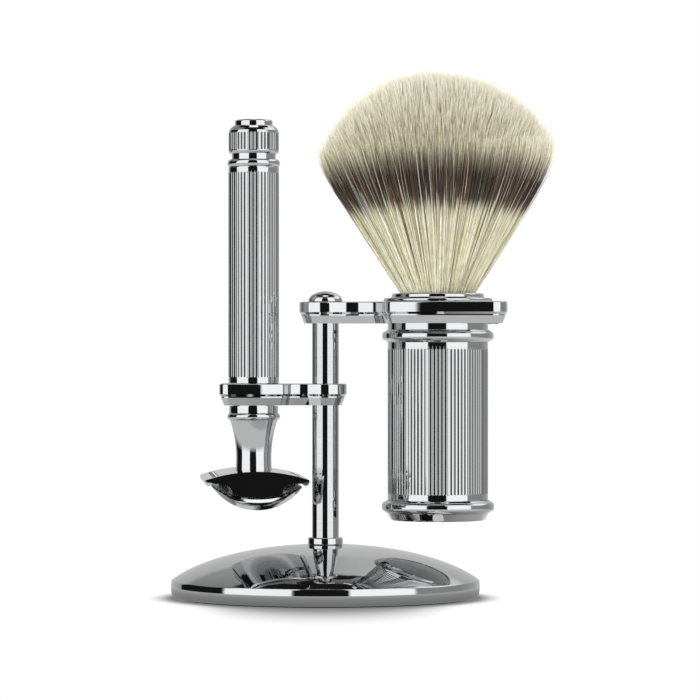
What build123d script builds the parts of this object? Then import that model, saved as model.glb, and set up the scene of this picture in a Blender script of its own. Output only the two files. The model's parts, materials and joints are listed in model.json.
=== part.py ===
"""A two-arm shaving stand on a domed round base, with the safety razor and the shaving brush it holds.

Millimetres. +Z is up, the origin is on the resting surface under the middle of the post.
The razor hangs head down in the fork on the -X side, the brush stands in the fork on the +X side.
"""
import os
from math import cos, pi, radians, sin, sqrt

from build123d import *

# ---- fits -------------------------------------------------------------------------------------
running = 0.05            # radial clearance of a thread or a pin that turns in its hole
seat_gap = 0.05           # between two faces that meet and part again
loose = 0.2               # radial clearance of a bolt in its hole
lining = 0.3              # between a casting and the shell around it

# ---- base -------------------------------------------------------------------------------------
base_radius = 37.1
rim_height = 4.35
rim_bottom = 0.3          # the shell stands off the table on its pad
rim_bulge = 0.12
rim_toe = 1.0             # rounding at the foot of the rim
rim_edge = 0.4            # rounding between rim and dome
dome_rise = 8.6           # from the top of the rim to the crown
dome_roundness = 1.12     # half-width of the ellipse that the dome is part of, over base_radius
shell_wall = 1.3
seat_radius = 4.6         # flat at the crown that the collar stands on
seat_sink = 0.12
pad_thickness = 1.5
pad_edge = 0.5

# ---- post -------------------------------------------------------------------------------------
post_radius = 3.22
post_bore_radius = 2.0
rod_radius = 1.9
rod_depth = 12.0          # how far the tie rod screws into the lower post
collar_radius = post_radius + 0.98
collar_height = 1.8
collar_edge = 0.35
base_screw_radius = 2.0
base_screw_depth = 9.0
base_screw_head_radius = 3.8
base_screw_head_height = 2.4
screw_recess = 0.4        # how far the screw head stays above the pad
screw_edge = 0.4
hex_socket = 3.0
hex_depth = 1.4
washer_radius = 5.2
washer_thickness = 1.0
screw_pocket_radius = 6.2

# ---- arms -------------------------------------------------------------------------------------
arm_thickness = 5.2
arm_band = 2.5            # height of the upright upper part of the arm's edge
arm_step = 0.55           # height of the first, steeper facet below it
arm_step_inset = 0.45
arm_ledge = 0.3           # upright ledge below that facet
arm_inset = 1.15          # how far the edge has drawn in at the underside
arm_edge = 0.35
mouth_edge = 1.0          # rounding of the prongs where the fork opens
razor_arm_height = 46.5   # underside of the razor's arm
brush_arm_height = 66.2   # underside of the brush's arm

razor_reach = 17.3        # post axis to razor axis
razor_hub = post_radius + 1.88
razor_waist_half = 3.64   # half-width of the arm at its narrowest
razor_prong = 3.1         # thickness of a prong beside its slot, and how far it reaches past it
razor_shoulder = 0.32     # how far behind the slot the head's inner corners lie
razor_fork_corner = 2.4
razor_fork_bulge = (40.0, 24.8)     # radius of the fork's end and of its sides
razor_fork_lean = 2.2     # how far beyond the middle of the fork its sides are widest
brush_reach = 27.14
brush_hub = post_radius + 3.05
brush_waist_half = 4.83
brush_prong = 5.0
brush_shoulder = -2.96
brush_fork_corner = 3.6
brush_fork_bulge = (70.0, 54.4)
brush_fork_lean = 6.6

nut_radius = post_radius + 0.93
nut_height = 2.6
nut_shoulder_radius = nut_radius - 1.05   # where the rounded side meets the crown
nut_shoulder_height = 1.75
nut_foot = 0.15           # chamfer at the nut's foot
nut_thread_depth = 1.5
rod_edge = 0.3

# ---- razor handle -----------------------------------------------------------------------------
groove_radius = 5.2       # the neck that the fork holds
groove_play = 0.2         # radial and axial play in the fork
band_radius = groove_radius + 0.7       # plain bands next to the groove
neck_radius = 4.25        # narrowest part of the neck
neck_waist_height = 33.9
neck_foot = 30.85
neck_foot_radius = 4.35
neck_top_radius = band_radius - 0.2
neck_bead_radius = band_radius + 0.45
neck_bead_low = 42.9
neck_bead_high = 44.6
sleeve_radius = band_radius + 0.2       # over the ribs
sleeve_flutes = 46
sleeve_bore = 4.3
flute_depth = 0.3
flute_share = 0.74        # width of a flute, as a share of its pitch
sleeve_band = 1.5         # plain band at each end of the sleeve
sleeve_end = 103.9
collar_bead_height = 1.8
recess_radius = band_radius - 0.6
recess_height = 1.4
knob_radius = sleeve_radius - 0.05
knob_shoulder = 1.1       # height of the knob's rounded shoulder
knob_shoulder_radius = knob_radius - 0.95
knob_height = 6.8
knob_foot = 0.7
button_radius = knob_radius - 1.5
button_height = 1.4
button_edge = 0.5
button_crown = 0.2        # rise of its slightly domed top
button_pin_radius = 2.0
button_pin_depth = 2.0
core_radius = 4.1
handle_stud_radius = 2.5
handle_stud_depth = 5.0
core_end_gap = 0.5        # between the core and the pin of the end button
knob_lip = 0.5            # how far the collar inside the knob overlaps its wall

# ---- razor head -------------------------------------------------------------------------------
head_turn = 4.0           # degrees that the head sits away from square in the fork
head_length = 41.4
plate_half_width = 12.25
plate_crown = 31.1        # highest line of the plate's back
plate_edge_drop = 2.0     # how much lower its long edges are
plate_edge = 0.5          # thickness of those edges at the ends of the plate
bar_depth = 1.5           # height of the safety bar
bar_width = 1.5
web_half_width = 5.9      # the lug at each end of the plate
lug_length = 1.2
lug_hollow = 2.4
bed_half_width = 8.8      # what the blade lies on
cap_crown = 21.98         # lowest line of the cap
cap_depth = 2.76          # thickness of the cap in the middle
cap_outer_radius = 13.0
cap_inner_radius = 22.7
cap_bevel = 0.95          # bevel at the ends of the cap
cap_nose = 0.15           # length of the blunt nose beyond the bevel
cap_nose_inset = 1.25
cap_length = 43.0
blade_width = 22.0
blade_thickness = 0.1
blade_slot = 3.6
blade_slot_length = 37.0
notch_half_width = 4.3
notch_height = 0.9
cap_stud_radius = 2.45
cap_stud_depth = 7.6      # thread length in the neck
cap_stud_base = 1.5       # how far the stud is set into the cap
cap_pin_radius = 1.2
cap_pin_spacing = 26.0
cap_pin_height = 4.0
drain_slots = 6
drain_pitch = 6.0
drain_width = 1.5
drain_length = 4.0

# ---- brush ------------------------------------------------------------------------------------
brush_neck_radius = 12.1
brush_play = 0.25         # radial play in the fork
brush_lift = 1.6          # play between the bead and the underside of the arm
bead_radius = 13.45
bead_height = 2.8
brush_sleeve_radius = 12.1
brush_flutes = 85
brush_sleeve_bore = 10.6
brush_flute_depth = 0.32
brush_sleeve_foot = 23.6
brush_band = 1.4
foot_bead_radius = 13.55
foot_bead_height = 3.1
foot_height = 1.7
foot_radius = 12.2
foot_toe_radius = 11.4
flange_radius = 13.15
flange_height = 0.85
rim_radius = 11.1
rim_rise = 1.15
rim_bore = 9.3
rim_sink = 6.0            # depth of the rim cap's spigot in the neck
ballast_height = 14.0
knot_root_radius = 8.95
knot_root_depth = 7.0
knot_radius = 28.0
knot_widest = 108.5
knot_top = 127.4
knot_corner = 0.9
knot_sink = 0.6           # how far the socket lies below the rim
knot_leave = 1.2          # straight length of hair above the socket


def shift(solid, x=0.0, y=0.0, z=0.0):
    return Pos(x, y, z) * solid


def outline(start, *moves):
    """Closed face from a start point; a move is a point (a line to it) or a pair (through, end) (an arc)."""
    edges = []
    here = start
    for move in moves + (start,):
        if isinstance(move[0], tuple):
            edges.append(ThreePointArc(here, move[0], move[1]))
            here = move[1]
        elif move != here:
            edges.append(Line(here, move))
            here = move
    return make_face(edges)


def turned(start, *moves):
    """Solid of revolution about Z from an outline in (radius, height)."""
    return revolve(Plane.XZ * outline(start, *moves), Axis.Z, 360)


def drum(radius, low, high, bore=0.0):
    standing = (Align.CENTER, Align.CENTER, Align.MIN)
    solid = Pos(0, 0, low) * Cylinder(radius, high - low, align=standing)
    if bore:
        solid -= Pos(0, 0, low - 1) * Cylinder(bore, high - low + 2, align=standing)
    return solid


def crown_arc(edge_radius, edge_height, top_height):
    """Move (through, end) over a round crown, level where it meets the axis."""
    rise = top_height - edge_height
    size = (edge_radius**2 + rise**2) / (2 * rise)
    through = edge_radius / 2
    return (through, top_height - size + sqrt(size**2 - through**2)), (0, top_height)


def fluted(radius, depth, count, low, high, bore):
    """Tube with round-bottomed flutes cut along its outside."""
    pitch = 2 * pi / count
    half_flute = pitch * flute_share / 2
    edges = []
    for i in range(count):
        middle = i * pitch
        start = middle - half_flute
        end = middle + half_flute
        rib = middle + pitch / 2
        following = middle + pitch - half_flute
        at = lambda size, angle: (size * cos(angle), size * sin(angle))
        edges.append(ThreePointArc(at(radius, start), at(radius - depth, middle), at(radius, end)))
        edges.append(ThreePointArc(at(radius, end), at(radius, rib), at(radius, following)))
    tube = extrude(make_face(edges) - Circle(bore), high - low)
    return Pos(0, 0, low) * tube


def meet(centre_a, radius_a, centre_b, radius_b, side):
    """One of the two points at the given distances from two centres; side is +1 (left of a to b) or -1."""
    dx = centre_b[0] - centre_a[0]
    dy = centre_b[1] - centre_a[1]
    gap = sqrt(dx * dx + dy * dy)
    along = (radius_a**2 - radius_b**2 + gap**2) / (2 * gap)
    across = side * sqrt(radius_a**2 - along**2)
    return (centre_a[0] + (along * dx - across * dy) / gap, centre_a[1] + (along * dy + across * dx) / gap)


def touch(centre, radius, other):
    """Point of a circle in the direction of another point."""
    dx = other[0] - centre[0]
    dy = other[1] - centre[1]
    gap = sqrt(dx * dx + dy * dy)
    return (centre[0] + dx * radius / gap, centre[1] + dy * radius / gap)


def waist_size(hub, corner, corner_centre, half):
    """Radius of the hollow that touches hub and corner and leaves the given half-width between them."""
    across, up = corner_centre
    slope = (hub - up - corner) / across
    offset = (hub**2 + across**2 + up**2 - 2 * up * half - corner**2) / (2 * across)
    linear = 2 * slope * offset - 2 * (hub - half)
    constant = offset**2 - hub**2 + half**2
    return (-linear - sqrt(linear**2 - 4 * slope**2 * constant)) / (2 * slope**2)


def arm_outline(reach, hub, waist_half, half, shoulder, corner, bulge, lean, inset):
    """Plan of an arm: a round hub at the origin, hollow waists, a barrel-sided head at x = reach."""
    side_centre = (reach + half[0] - bulge[0], 0.0)
    front_centre = (reach + lean, half[1] - bulge[1])
    outer_corner = meet(front_centre, bulge[1] - corner, side_centre, bulge[0] - corner, -1)
    if outer_corner[1] < 0:
        outer_corner = meet(front_centre, bulge[1] - corner, side_centre, bulge[0] - corner, 1)
    inner_height = front_centre[1] + sqrt((bulge[1] - corner) ** 2 - (shoulder + lean) ** 2)
    inner_corner = (reach - shoulder, inner_height)
    waist = waist_size(hub, corner, inner_corner, waist_half)
    hollow = meet((0.0, 0.0), hub + waist, inner_corner, waist + corner, 1)
    hub_size = hub - inset
    corner_size = corner - inset
    front_size = bulge[1] - inset
    side_size = bulge[0] - inset
    hollow_size = waist + inset

    def arc(centre, size, start, end):
        middle = ((start[0] + end[0]) / 2, (start[1] + end[1]) / 2)
        return (touch(centre, size, middle), end)

    def away(centre, size, other):
        """Point of a circle on the side away from another point."""
        return touch(centre, size, (2 * centre[0] - other[0], 2 * centre[1] - other[1]))

    tip = (reach + half[0] - inset, 0.0)
    side_end = away(outer_corner, corner_size, side_centre)
    front_start = away(outer_corner, corner_size, front_centre)
    front_end = away(inner_corner, corner_size, front_centre)
    hollow_start = touch(inner_corner, corner_size, hollow)
    hollow_end = touch((0.0, 0.0), hub_size, hollow)
    back = (-hub_size, 0.0)
    upper = [
        (tip, arc(side_centre, side_size, tip, side_end)),
        (side_end, arc(outer_corner, corner_size, side_end, front_start)),
        (front_start, arc(front_centre, front_size, front_start, front_end)),
        (front_end, arc(inner_corner, corner_size, front_end, hollow_start)),
        (hollow_start, arc(hollow, hollow_size, hollow_start, hollow_end)),
        (hollow_end, arc((0.0, 0.0), hub_size, hollow_end, back)),
    ]
    edges = []
    for start, (through, end) in upper:
        edges.append(ThreePointArc(start, through, end))
        edges.append(ThreePointArc(*[(p[0], -p[1]) for p in (start, through, end)]))
    return make_face(edges)


def arm(reach, hub, waist_half, prong, shoulder, corner, bulge, lean, slot_half, low):
    """An arm with a drilled hub at the origin and a fork that opens away from it, towards +X."""
    high = low + arm_thickness
    half = (slot_half + prong, slot_half + prong)

    def plan(inset, height):
        flat = arm_outline(reach, hub, waist_half, half, slot_half + shoulder, corner, bulge, lean, inset)
        return Pos(0, 0, height) * flat

    band_low = high - arm_band
    step_low = band_low - arm_step
    tip = reach + half[0]
    flare = mouth_edge * sqrt(0.5)
    slot_plan = outline(
        (reach, slot_half),
        (tip - mouth_edge, slot_half),
        ((tip - mouth_edge + flare, slot_half + mouth_edge - flare), (tip, slot_half + mouth_edge)),
        (tip + 2, slot_half + mouth_edge),
        (tip + 2, -slot_half - mouth_edge),
        (tip, -slot_half - mouth_edge),
        ((tip - mouth_edge + flare, -slot_half - mouth_edge + flare), (tip - mouth_edge, -slot_half)),
        (reach, -slot_half),
        ((reach - slot_half, 0), (reach, slot_half)),
    )
    slot = Pos(0, 0, low - 1) * extrude(slot_plan, arm_thickness + 2)
    hole = drum(rod_radius + loose, low - 1, high + 1)
    band = loft([plan(0.0, band_low), plan(0.0, high)], ruled=True) - slot
    band = fillet(band.faces().sort_by(Axis.Z)[-1].edges(), arm_edge)
    step = loft([plan(arm_step_inset, step_low), plan(0.0, band_low)], ruled=True) - slot
    ledge_low = step_low - arm_ledge
    ledge = loft([plan(arm_step_inset, ledge_low), plan(arm_step_inset, step_low)], ruled=True) - slot
    foot = loft([plan(arm_inset, low), plan(arm_step_inset, ledge_low)], ruled=True) - slot
    return band + step + ledge + foot - hole


# ---- base -------------------------------------------------------------------------------------
crown = rim_height + dome_rise
seat_height = crown - seat_sink
dome_half_width = base_radius * dome_roundness
dome_height = dome_rise / (1 - sqrt(1 - (base_radius / dome_half_width) ** 2))


def dome_at(radius, inset=0.0):
    """Height of the dome at a radius, or of the surface that lies inset below it."""
    return crown - dome_height + (dome_height - inset) * sqrt(1 - (radius / (dome_half_width - inset)) ** 2)


def dome_curve(outer, inner, inset=0.0):
    """Curve down the dome, from the inner radius out to the outer one."""
    steps = 9
    points = [inner + (outer - inner) * sin(pi / 2 * i / steps) for i in range(steps + 1)]
    return Spline([(r, dome_at(r, inset)) for r in points])


def base_shell():
    inner = base_radius - shell_wall
    rim_top = dome_at(base_radius)
    edges = [
        dome_curve(base_radius, seat_radius),
        ThreePointArc(
            (base_radius, rim_top),
            (base_radius + rim_bulge, (rim_top + rim_bottom + rim_toe) / 2),
            (base_radius, rim_bottom + rim_toe),
        ),
        ThreePointArc(
            (base_radius, rim_bottom + rim_toe),
            (base_radius - rim_toe * (1 - cos(radians(45))), rim_bottom + rim_toe * (1 - sin(radians(45)))),
            (base_radius - rim_toe, rim_bottom),
        ),
        Line((base_radius - rim_toe, rim_bottom), (inner, rim_bottom)),
        Line((inner, rim_bottom), (inner, dome_at(inner, shell_wall))),
        dome_curve(inner, seat_radius, shell_wall),
        Line((seat_radius, dome_at(seat_radius, shell_wall)), (0, dome_at(seat_radius, shell_wall))),
        Line((0, dome_at(seat_radius, shell_wall)), (0, seat_height)),
        Line((0, seat_height), (seat_radius, seat_height)),
        Line((seat_radius, seat_height), (seat_radius, dome_at(seat_radius))),
    ]
    shell = revolve(Plane.XZ * make_face(edges), Axis.Z, 360)
    shell -= drum(base_screw_radius + loose, 0, crown + 1)
    at_rim = shell.edges().filter_by(lambda e: abs(e.center().Z - rim_top) < 0.01 and e.radius > inner)
    return fillet(at_rim, rim_edge)


def base_weight():
    radius = base_radius - shell_wall - lining
    inset = shell_wall + lining
    top = dome_at(seat_radius, shell_wall)
    edges = [
        Line((0, pad_thickness), (radius, pad_thickness)),
        Line((radius, pad_thickness), (radius, dome_at(radius, inset))),
        dome_curve(radius, seat_radius, inset),
        Line((seat_radius, dome_at(seat_radius, inset)), (seat_radius, top)),
        Line((seat_radius, top), (0, top)),
        Line((0, top), (0, pad_thickness)),
    ]
    weight = revolve(Plane.XZ * make_face(edges), Axis.Z, 360)
    weight -= drum(base_screw_radius + loose, 0, crown)
    weight -= drum(screw_pocket_radius, 0, screw_head_top + washer_thickness)
    return weight


def base_pad():
    radius = base_radius - shell_wall - lining
    pad = drum(radius, 0, pad_thickness)
    return chamfer(pad.faces().sort_by(Axis.Z)[0].edges(), pad_edge)


screw_head_top = pad_thickness + screw_recess + base_screw_head_height


def base_screw():
    low = screw_head_top - base_screw_head_height
    head = drum(base_screw_head_radius, low, screw_head_top)
    head = fillet(head.faces().sort_by(Axis.Z)[0].edges(), screw_edge)
    head += drum(base_screw_radius, screw_head_top, seat_height + base_screw_depth)
    head -= Pos(0, 0, low - 1) * extrude(RegularPolygon(hex_socket / sqrt(3), 6), hex_depth + 1)
    return head


def base_washer():
    return drum(washer_radius, screw_head_top, screw_head_top + washer_thickness, base_screw_radius + loose)


def post_collar():
    low = seat_height
    high = seat_height + collar_height
    ring = drum(collar_radius, low, high, post_radius)
    rims = ring.edges().filter_by(GeomType.CIRCLE).filter_by(lambda e: e.radius > post_radius + 0.1)
    return fillet(rims, collar_edge)


def lower_post():
    post = drum(post_radius, seat_height, razor_arm_height)
    post -= drum(base_screw_radius + running, seat_height - 1, seat_height + base_screw_depth + 1)
    post -= drum(rod_radius + running, razor_arm_height - rod_depth, razor_arm_height + 1)
    return post


def upper_post():
    return drum(post_radius, razor_arm_height + arm_thickness, brush_arm_height, post_bore_radius)


nut_low = brush_arm_height + arm_thickness


def tie_rod():
    rod = drum(rod_radius, razor_arm_height - rod_depth, nut_low + nut_thread_depth)
    return chamfer(rod.faces().filter_by(Axis.Z).edges(), rod_edge)


def dome_nut():
    shoulder_top = nut_low + nut_shoulder_height
    rounding = nut_radius - nut_shoulder_radius
    through = (nut_radius - rounding * 0.28, nut_low + nut_shoulder_height * 0.6)
    nut = turned(
        (0, nut_low),
        (nut_radius - nut_foot, nut_low),
        (nut_radius, nut_low + nut_foot),
        (through, (nut_shoulder_radius, shoulder_top)),
        crown_arc(nut_shoulder_radius, shoulder_top, nut_low + nut_height),
    )
    return nut - drum(rod_radius + running, nut_low - 1, nut_low + nut_thread_depth)


def razor_arm():
    body = arm(
        razor_reach, razor_hub, razor_waist_half, razor_prong, razor_shoulder, razor_fork_corner,
        razor_fork_bulge, razor_fork_lean, groove_radius + groove_play, razor_arm_height,
    )
    return Rot(0, 0, 180) * body


def brush_arm():
    return arm(
        brush_reach, brush_hub, brush_waist_half, brush_prong, brush_shoulder, brush_fork_corner,
        brush_fork_bulge, brush_fork_lean, brush_neck_radius + brush_play, brush_arm_height,
    )


# ---- razor handle, built on the Z axis and moved to the razor's axis ----------------------------
groove_low = razor_arm_height - groove_play
groove_high = razor_arm_height + arm_thickness


def razor_neck():
    """Flared neck, bead, band and the groove that sits in the fork."""
    span = neck_bead_low - neck_waist_height
    flare_middle = neck_radius + (neck_top_radius - neck_radius) * 0.25
    bead_base = neck_top_radius
    neck = turned(
        (0, neck_foot),
        (neck_foot_radius, neck_foot),
        ((neck_radius + 0.02, (neck_foot + neck_waist_height) / 2), (neck_radius, neck_waist_height)),
        ((flare_middle, neck_waist_height + span / 2), (neck_top_radius, neck_bead_low)),
        (bead_base + 0.25, neck_bead_low + 0.05),
        ((neck_bead_radius, neck_bead_low + 0.75), (band_radius + 0.2, neck_bead_high - 0.15)),
        (band_radius, neck_bead_high),
        (band_radius, groove_low),
        (groove_radius, groove_low),
        (groove_radius, groove_high),
        (0, groove_high),
    )
    neck -= drum(cap_stud_radius + running, neck_foot - 1, neck_foot + cap_stud_depth + 1)
    neck -= drum(handle_stud_radius + running, groove_high - handle_stud_depth - 0.5, groove_high + 1)
    return neck


def razor_sleeve():
    low = groove_high
    tube = drum(band_radius, low, sleeve_end, sleeve_bore)
    tube += fluted(
        sleeve_radius, flute_depth, sleeve_flutes, low + sleeve_band, sleeve_end - sleeve_band, sleeve_bore
    )
    return tube


def razor_core():
    """Steel core that draws neck and end pieces together and gives the handle its weight."""
    core = drum(core_radius, groove_high, sleeve_end)
    core += drum(handle_stud_radius, groove_high - handle_stud_depth, groove_high)
    core += drum(handle_stud_radius, sleeve_end, knob_low + knob_height - button_pin_depth - core_end_gap)
    return core


collar_high = sleeve_end + collar_bead_height + recess_height
knob_low = collar_high


def razor_end_collar():
    bead_low = sleeve_end
    bead_high = sleeve_end + collar_bead_height
    bore = handle_stud_radius + running
    collar = turned(
        (bore, bead_low),
        (band_radius, bead_low),
        ((neck_bead_radius, (bead_low + bead_high) / 2), (band_radius, bead_high)),
        (recess_radius, bead_high + 0.1),
        (recess_radius, collar_high),
        (bore, collar_high),
    )
    return collar


def razor_end_knob():
    low = knob_low
    high = knob_low + knob_height
    flute_top = high - knob_shoulder
    body = fluted(knob_radius, flute_depth, sleeve_flutes, low, high, handle_stud_radius + running)
    lathe = turned(
        (0, low),
        (knob_radius - 0.55, low),
        ((knob_radius - 0.12, low + knob_foot * 0.35), (knob_radius + 0.01, low + knob_foot)),
        (knob_radius + 0.01, flute_top),
        ((knob_radius - 0.3, high - 0.35), (knob_shoulder_radius, high)),
        (0, high),
    )
    lip = drum(handle_stud_radius + knob_lip, high - button_pin_depth, high, button_pin_radius + running)
    return (body & lathe) + lip


def razor_end_button():
    low = knob_low + knob_height
    high = low + button_height
    flat = button_radius - button_edge
    round_off = button_edge * 0.3
    button = turned(
        (0, low),
        (button_radius, low),
        (button_radius, high - button_edge),
        ((button_radius - round_off, high - round_off), (flat, high)),
        crown_arc(flat, high, high + button_crown),
    )
    return button + drum(button_pin_radius, low - button_pin_depth, low)


# ---- razor head, built along Y and turned with the head ----------------------------------------
plate_radius = (plate_half_width**2 + plate_edge_drop**2) / (2 * plate_edge_drop)
plate_edge_high = plate_crown - plate_edge_drop
bed_centre = cap_crown + cap_depth + cap_inner_radius
bed_radius = cap_inner_radius - seat_gap - blade_thickness
head_half = head_length / 2


def bed_at(x, radius):
    return bed_centre - sqrt(radius**2 - x**2)


def along_y(face, length):
    """Extrudes an outline drawn in (x, height) along Y, centred."""
    return extrude(Plane.XZ * face, length / 2, both=True)


def back_arc():
    """Arc over the back of the plate, from its +X edge to its -X edge."""
    return (0, plate_crown), (-plate_half_width, plate_edge_high)


def razor_baseplate():
    edge_low = plate_edge_high - plate_edge
    hollow_start = web_half_width + lug_hollow
    lug_low = bed_at(web_half_width, bed_radius)
    turn = lug_hollow * (1 - sqrt(0.5))
    wing_low = edge_low - 0.45
    end_profile = outline(
        (plate_half_width, plate_edge_high),
        back_arc(),
        (-plate_half_width + 0.2, edge_low),
        (-hollow_start, wing_low),
        ((-web_half_width - turn, wing_low - turn), (-web_half_width, wing_low - lug_hollow)),
        (-web_half_width, lug_low),
        ((0, bed_at(0, bed_radius)), (web_half_width, lug_low)),
        (web_half_width, wing_low - lug_hollow),
        ((web_half_width + turn, wing_low - turn), (hollow_start, wing_low)),
        (plate_half_width - 0.2, edge_low),
    )
    bar_low = plate_edge_high - bar_depth
    channel_top = wing_low
    bed_edge = bed_at(bed_half_width, bed_radius)
    bar_inner = plate_half_width - bar_width
    middle_profile = outline(
        (plate_half_width, plate_edge_high),
        back_arc(),
        ((-plate_half_width + 0.05, bar_low + 0.5), (-plate_half_width + 0.75, bar_low)),
        (-bar_inner, bar_low + 0.4),
        (-bar_inner, channel_top),
        (-bed_half_width - 0.3, channel_top),
        (-bed_half_width, bed_edge),
        ((0, bed_at(0, bed_radius)), (bed_half_width, bed_edge)),
        (bed_half_width + 0.3, channel_top),
        (bar_inner, channel_top),
        (bar_inner, bar_low + 0.4),
        (plate_half_width - 0.75, bar_low),
        ((plate_half_width - 0.05, bar_low + 0.5), (plate_half_width, plate_edge_high)),
    )
    plate = along_y(end_profile, head_length)
    middle = along_y(middle_profile, head_length - 2 * lug_length)
    lean = bar_depth + 3
    for side in (1, -1):
        bevel = Pos(0, side * (head_half - lug_length), plate_edge_high - 0.3) * (
            Rot(side * 50, 0, 0) * Box(60, 2 * lean, lean, align=(Align.CENTER, Align.CENTER, Align.MAX))
        )
        middle -= bevel
    plate += middle
    notch = outline(
        (notch_half_width, 0),
        (notch_half_width - 0.5, bed_at(0, bed_radius) + notch_height + 0.5),
        (-notch_half_width + 0.5, bed_at(0, bed_radius) + notch_height + 0.5),
        (-notch_half_width, 0),
    )
    for side in (1, -1):
        plate -= Pos(0, side * head_half, 0) * along_y(notch, 2 * lug_length)
    plate -= drum(neck_foot_radius + lining, neck_foot - seat_gap, plate_crown + 1)
    plate -= drum(cap_stud_radius + loose, 0, plate_crown + 1)
    for side in (1, -1):
        plate -= shift(drum(cap_pin_radius + loose, 0, cap_pin_top + 0.5), y=side * cap_pin_spacing / 2)
        slots = Rectangle(drain_width, drain_length - drain_width)
        slots += Pos(0, (drain_length - drain_width) / 2) * Circle(drain_width / 2)
        slots += Pos(0, -(drain_length - drain_width) / 2) * Circle(drain_width / 2)
        for i in range(drain_slots):
            place = (i - (drain_slots - 1) / 2) * drain_pitch
            x = side * (bed_half_width + bar_inner) / 2
            plate -= Pos(x, place, channel_top - 1) * extrude(slots, 5)
    return plate


cap_pin_top = bed_centre - cap_inner_radius + cap_pin_height
cap_outer_centre = cap_crown + cap_outer_radius


def crescent(inset):
    """Cross-section of the cap between its round outside and its flatter inside, drawn in by inset."""
    outer = cap_outer_radius - inset
    inner = cap_inner_radius + inset
    gap = bed_centre - cap_outer_centre
    drop = (gap**2 + outer**2 - inner**2) / (2 * gap)
    tip_x = sqrt(outer**2 - drop**2)
    tip_z = cap_outer_centre + drop
    return outline(
        (tip_x, tip_z),
        ((0, bed_centre - inner), (-tip_x, tip_z)),
        ((0, cap_outer_centre - outer), (tip_x, tip_z)),
    )


def razor_cap():
    """Cap with bevelled ends and two pins that place the blade."""
    tip = cap_length / 2
    bevel_end = tip - cap_nose
    sections = [(bevel_end - cap_bevel, 0.0), (bevel_end, cap_bevel), (tip, cap_nose_inset)]
    places = [(-y, inset) for y, inset in reversed(sections)] + sections
    cap = loft([Plane.XZ.offset(-y) * crescent(inset) for y, inset in places], ruled=True)
    for side in (1, -1):
        pin = drum(cap_pin_radius, bed_centre - cap_inner_radius - 0.8, cap_pin_top)
        pin = chamfer(pin.faces().sort_by(Axis.Z)[-1].edges(), 0.3)
        cap += shift(pin, y=side * cap_pin_spacing / 2)
    cap -= drum(cap_stud_radius, bed_centre - cap_inner_radius - cap_stud_base, plate_crown)
    return cap


def razor_cap_stud():
    stud = drum(cap_stud_radius, bed_centre - cap_inner_radius - cap_stud_base, neck_foot + cap_stud_depth)
    return chamfer(stud.faces().sort_by(Axis.Z)[-1].edges(), 0.4)


def razor_blade():
    upper = bed_radius
    lower = bed_radius + blade_thickness
    half_angle = blade_width / 2 / bed_radius
    at = lambda size, angle: (size * sin(angle), bed_centre - size * cos(angle))
    profile = outline(
        at(upper, half_angle),
        (at(upper, 0), at(upper, -half_angle)),
        at(lower, -half_angle * 0.985),
        (at(lower, 0), at(lower, half_angle * 0.985)),
    )
    blade = along_y(profile, head_length - 2 * lug_length)
    low = bed_centre - lower - 1
    slot = Rectangle(blade_slot, blade_slot_length - blade_slot) + Circle(cap_stud_radius + 2 * loose)
    for side in (1, -1):
        slot += Pos(0, side * (blade_slot_length - blade_slot) / 2) * Circle(blade_slot / 2)
    return blade - Pos(0, 0, low) * extrude(slot, 4)


# ---- brush, built on the Z axis and moved to the brush's axis -----------------------------------
bead_low = brush_arm_height - brush_lift - bead_height
brush_neck_top = brush_arm_height + arm_thickness + seat_gap


def bead_moves(base, peak, low, height):
    """Bead on a band, with a rounded top and foot and a nearly flat outside."""
    lip = 0.1 * height
    side = base + 0.4 * (peak - base)
    face = peak - 0.06
    flat = 0.3 * height
    round_side = side + 0.72 * (face - side)
    return (
        (base + 0.25, low),
        (side, low + lip),
        ((round_side, low + 0.19 * height), (face, low + flat)),
        ((peak, low + height / 2), (face, low + height - flat)),
        ((round_side, low + 0.81 * height), (side, low + height - lip)),
        (base + 0.25, low + height),
    )


def brush_foot():
    low = brush_sleeve_foot - foot_bead_height - foot_height
    high = brush_sleeve_foot - foot_bead_height
    foot = turned(
        (0, low + 0.4),
        (foot_toe_radius - 1.4, low + 0.4),
        (foot_toe_radius - 1.0, low),
        (foot_toe_radius - 0.25, low),
        (foot_toe_radius, low + 0.25),
        (foot_radius, high),
        (0, high),
    )
    foot += drum(brush_sleeve_bore - 2 * seat_gap, high, high + foot_bead_height + 3)
    return foot


def brush_foot_ring():
    low = brush_sleeve_foot - foot_bead_height
    bore = brush_sleeve_bore - 2 * seat_gap
    return turned(
        (bore, low),
        *bead_moves(brush_sleeve_radius, foot_bead_radius, low, foot_bead_height),
        (bore, low + foot_bead_height),
    )


def brush_sleeve():
    low = brush_sleeve_foot
    high = bead_low
    flute_low = low + brush_band
    flute_high = high - brush_band
    tube = drum(brush_sleeve_radius - 0.15, low, high, brush_sleeve_bore)
    tube += fluted(
        brush_sleeve_radius, brush_flute_depth, brush_flutes, flute_low, flute_high, brush_sleeve_bore
    )
    return tube


def brush_neck():
    """Bead and the plain neck that stands in the fork."""
    return turned(
        (brush_sleeve_bore, bead_low),
        *bead_moves(brush_neck_radius, bead_radius, bead_low, bead_height),
        (brush_neck_radius, bead_low + bead_height + 0.1),
        (brush_neck_radius, brush_neck_top),
        (brush_sleeve_bore, brush_neck_top),
    )


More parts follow.
